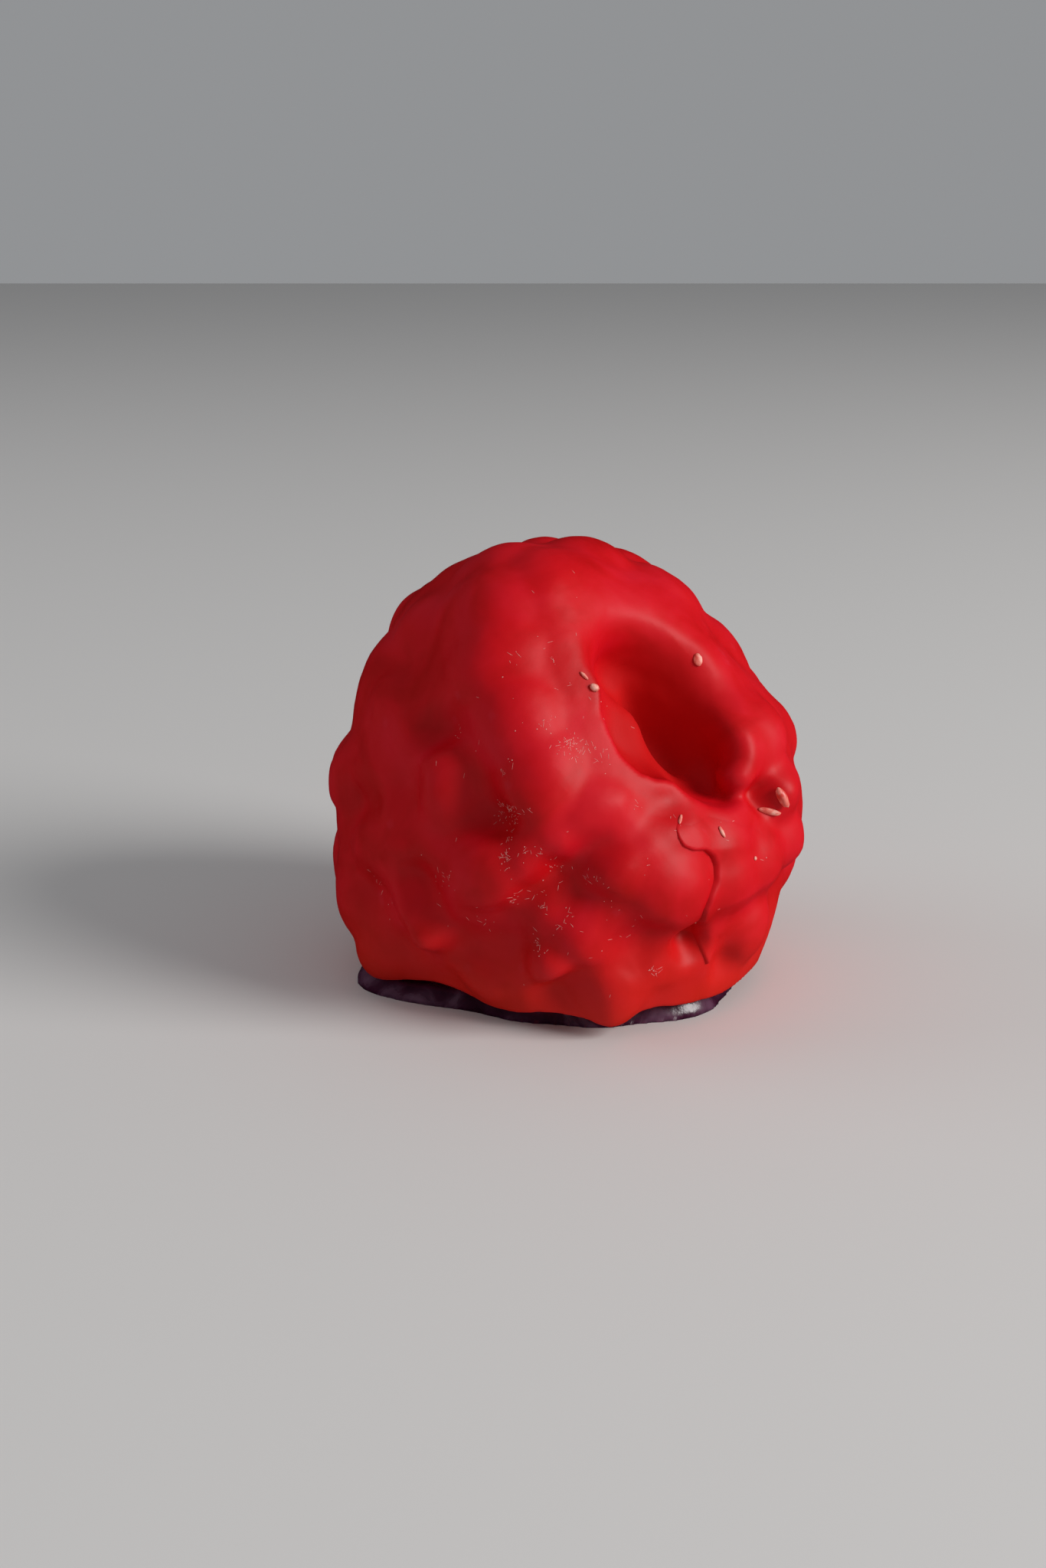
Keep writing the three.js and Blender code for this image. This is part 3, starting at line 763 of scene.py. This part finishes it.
def shellMaterial():
    material, nodes, links, shader = newMaterial("waxy_red_shell")
    place, mottle = addMottle(nodes, links, shellFinish)
    red = addRamp(nodes, [(0.1, shellFinish["deep"]), (0.5, shellFinish["red"]), (0.95, shellFinish["bright"])])
    links.new(mottle.outputs["Patches"], red.inputs["Fac"])
    shape = nodes.new("ShaderNodeNewGeometry")  # pale bloom and painted sheen gather where the skin stands out, painted shade keeps the creases deep red
    bloomAndSheen = addMapRange(nodes, links, shape.outputs["Pointiness"], *shellFinish["bloomAndSheenSpan"])
    raised = addMix(nodes, links, bloomAndSheen, red.outputs["Color"], shellFinish["bloomAndSheen"])
    # painted shade: creases are darkened towards the deep colour by pointiness
    creaseShade = addMapRange(nodes, links, shape.outputs["Pointiness"], *shellFinish["creaseShadeSpan"])
    creaseShaded = addMix(nodes, links, creaseShade, raised, shellFinish["deep"])
    height = nodes.new("ShaderNodeSeparateXYZ")
    links.new(place.outputs["Object"], height.inputs[0])
    # painted warm bounce light from below, more orange towards the lower edge
    low = addMapRange(nodes, links, height.outputs["Z"], *shellFinish["hemBounceSpan"])
    hemBounceLit = addMix(nodes, links, low, creaseShaded, shellFinish["paintedHemBounce"])
    toHollow = nodes.new("ShaderNodeVectorMath")  # painted shade: the hollow is painted the deepest red round its floor
    toHollow.operation = "DISTANCE"
    hollowFloor = berry["middle"] + direction(*shellFinish["hollowWay"]) * shellFinish["hollowLevel"] * mm
    toHollow.inputs[1].default_value = hollowFloor
    links.new(place.outputs["Object"], toHollow.inputs[0])
    hollowShadeAndDullness = addMapRange(nodes, links, toHollow.outputs["Value"], *shellFinish["hollowShadeSpan"])
    links.new(addMix(nodes, links, hollowShadeAndDullness, hemBounceLit, shellFinish["hollow"]), shader.inputs["Base Color"])
    dull = nodes.new("ShaderNodeMath")  # and duller than the skin outside
    dull.operation = "MULTIPLY_ADD"
    dull.inputs[1].default_value = shellFinish["hollowDullness"]
    links.new(hollowShadeAndDullness, dull.inputs[0])
    links.new(addMapRange(nodes, links, mottle.outputs["Patches"], *shellFinish["roughness"]), dull.inputs[2])
    links.new(dull.outputs[0], shader.inputs["Roughness"])
    shader.inputs["Specular IOR Level"].default_value = shellFinish["specular"]
    shader.inputs["Subsurface Weight"].default_value = shellFinish["subsurface"]
    shader.inputs["Subsurface Radius"].default_value = shellFinish["subsurfaceRadius"]
    shader.inputs["Subsurface Scale"].default_value = shellFinish["subsurfaceScale"]
    addBump(nodes, links, mottle, shellFinish, shader)
    return material


frostFinish = {
    "tones": [(0.2, (0.72, 0.16, 0.16, 1)), (0.8, (0.82, 0.42, 0.38, 1))],
    "patchSize": 0.6, "grainSize": 0.1, "contrast": 2.0, "roughness": (0.3, 0.7, 0.3, 0.5),
}


def frostMaterial():
    material, nodes, links, shader = newMaterial("cocoa_butter_frost")
    _, mottle = addMottle(nodes, links, frostFinish)
    tone = addRamp(nodes, frostFinish["tones"])
    links.new(mottle.outputs["Patches"], tone.inputs["Fac"])
    links.new(tone.outputs["Color"], shader.inputs["Base Color"])
    links.new(addMapRange(nodes, links, mottle.outputs["Grain"], *frostFinish["roughness"]), shader.inputs["Roughness"])
    return material


crumbFinish = {
    "tones": [(0.1, (0.64, 0.05, 0.035, 1)), (0.5, (0.74, 0.16, 0.12, 1)), (0.9, (0.82, 0.40, 0.32, 1))],
    "patchSize": 1.2, "grainSize": 0.2, "contrast": 2.4, "roughness": (0.0, 1.0, 0.35, 0.55), "bump": (0.4, 0.08),
}

jellyFinish = {
    "tones": [(0.15, (0.018, 0.003, 0.009, 1)), (0.55, (0.05, 0.009, 0.028, 1)), (0.95, (0.13, 0.055, 0.10, 1))],
    "patchSize": 5, "grainSize": 0.6, "contrast": 2.2, "roughness": (0.0, 1.0, 0.12, 0.34), "bump": (0.5, 0.25),
}


def mottledMaterial(name, finish):  # colour and gloss both follow the patches
    material, nodes, links, shader = newMaterial(name)
    _, mottle = addMottle(nodes, links, finish)
    tone = addRamp(nodes, finish["tones"])
    links.new(mottle.outputs["Patches"], tone.inputs["Fac"])
    links.new(tone.outputs["Color"], shader.inputs["Base Color"])
    links.new(addMapRange(nodes, links, mottle.outputs["Patches"], *finish["roughness"]), shader.inputs["Roughness"])
    addBump(nodes, links, mottle, finish, shader)
    return material


def dress(obj, material):
    obj.data.materials.clear()
    obj.data.materials.append(material)


waxyRed = shellMaterial()
dress(body, waxyRed)
dress(coatingRun, waxyRed)
dress(layer, mottledMaterial("dark_berry_jelly", jellyFinish))
dress(frostFlecks, frostMaterial())
dress(shellCrumbs, mottledMaterial("pale_shell_crumb", crumbFinish))
report("materials on")


# Floor, light and camera

stage = {
    "floorSize": 3.0, "floorColour": (0.70, 0.69, 0.68, 1), "floorRoughness": 0.7,
    "surround": (0.95, 0.97, 1.0, 1), "surroundStrength": 0.3,
}


def buildStage():  # the wax mirrors only the window, so neither the floor nor the surround shows in gloss
    bpy.ops.mesh.primitive_plane_add(size=stage["floorSize"])
    floor = bpy.context.object
    floor.name = "floor"
    material, _, _, shader = newMaterial("pale_floor")
    shader.inputs["Base Color"].default_value = stage["floorColour"]
    shader.inputs["Roughness"].default_value = stage["floorRoughness"]
    floor.data.materials.append(material)
    floor.visible_glossy = False
    world = bpy.data.worlds.new("soft_surround")
    world.use_nodes = True
    background = world.node_tree.nodes["Background"]
    background.inputs["Color"].default_value = stage["surround"]
    background.inputs["Strength"].default_value = stage["surroundStrength"]
    world.cycles_visibility.glossy = False
    bpy.context.scene.world = world


softboxes = [  # name, place in m, size, energy, colour, whether it shows in gloss
    ("window_light", (0.95, -0.42, 0.54), 0.60, 12.5, (1.0, 0.98, 0.96), True),
    ("fill_light", (-0.80, 0.10, 0.36), 0.60, 1.2, (0.95, 0.97, 1.0), False),
]


def addSoftbox(name, place, size, energy, colour, mirrored):
    bpy.ops.object.light_add(type="AREA", location=place)
    lamp = bpy.context.object
    lamp.name = name
    lamp.data.shape = "DISK"
    lamp.data.size = size
    lamp.data.energy = energy
    lamp.data.color = colour
    lamp.visible_glossy = mirrored
    lamp.rotation_euler = (berry["middle"] - Vector(place)).to_track_quat("-Z", "Y").to_euler()


photoCamera = {"place": (-0.0040, -0.2484, 0.0992), "tilt": 73.14, "lens": 47.46, "sensor": 36, "clipStart": 0.01}


def addCamera():
    bpy.ops.object.camera_add(location=photoCamera["place"], rotation=(math.radians(photoCamera["tilt"]), 0, 0))
    camera = bpy.context.object
    camera.data.lens = photoCamera["lens"]
    camera.data.sensor_width = photoCamera["sensor"]
    camera.data.clip_start = photoCamera["clipStart"]
    bpy.context.scene.camera = camera


buildStage()
for softbox in softboxes:
    addSoftbox(*softbox)
addCamera()
bpy.context.scene.view_settings.view_transform = "Standard"

clearSelection()
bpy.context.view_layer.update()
report("scene ready")
